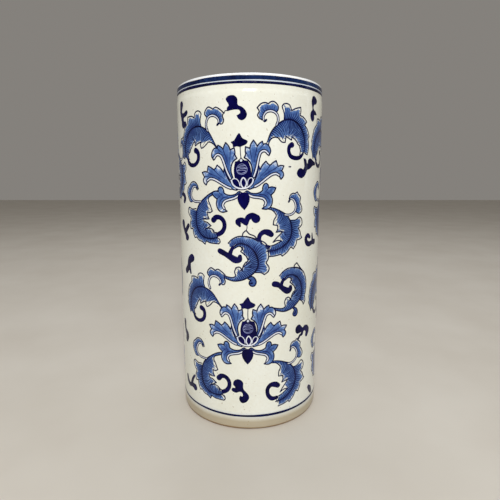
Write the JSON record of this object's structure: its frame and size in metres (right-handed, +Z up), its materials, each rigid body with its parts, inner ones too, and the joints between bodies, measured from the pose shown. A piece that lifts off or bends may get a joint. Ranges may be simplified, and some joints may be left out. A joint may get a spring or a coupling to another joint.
{
  "type": "umbrella stand",
  "caption": "Round glazed ceramic umbrella stand, open at the top, with a rolled lip, painted rim and foot rings and blue lotus scroll decoration.",
  "frame": {"origin": "centre of the foot ring's contact plane, at the bottom centre of the stand", "axes": "+Z up along the vessel's axis; the painted front faces -Y and +X is to its right"},
  "size_m": [0.203, 0.203, 0.457],
  "materials": {
    "bare_clay": "unglazed fired clay, fine grain",
    "cream_glaze": "glossy clear cream glaze",
    "white_glaze": "glossy white glaze",
    "cobalt_paint": "glossy dark cobalt brushwork under glaze",
    "cobalt_wash": "glossy thin cobalt wash under glaze"
  },
  "bodies": {
    "root": {"foot_ring": "bare_clay", "floor_slab": "bare_clay", "floor_seam_coil": "bare_clay", "wall": "bare_clay", "rim_collar": "bare_clay", "outer_glaze": "cream_glaze", "lip_glaze": "white_glaze", "inner_glaze": "cream_glaze", "rim_band": "cobalt_paint", "rim_line": "cobalt_paint", "foot_line": "cobalt_paint"}
  },
  "joints": []
}
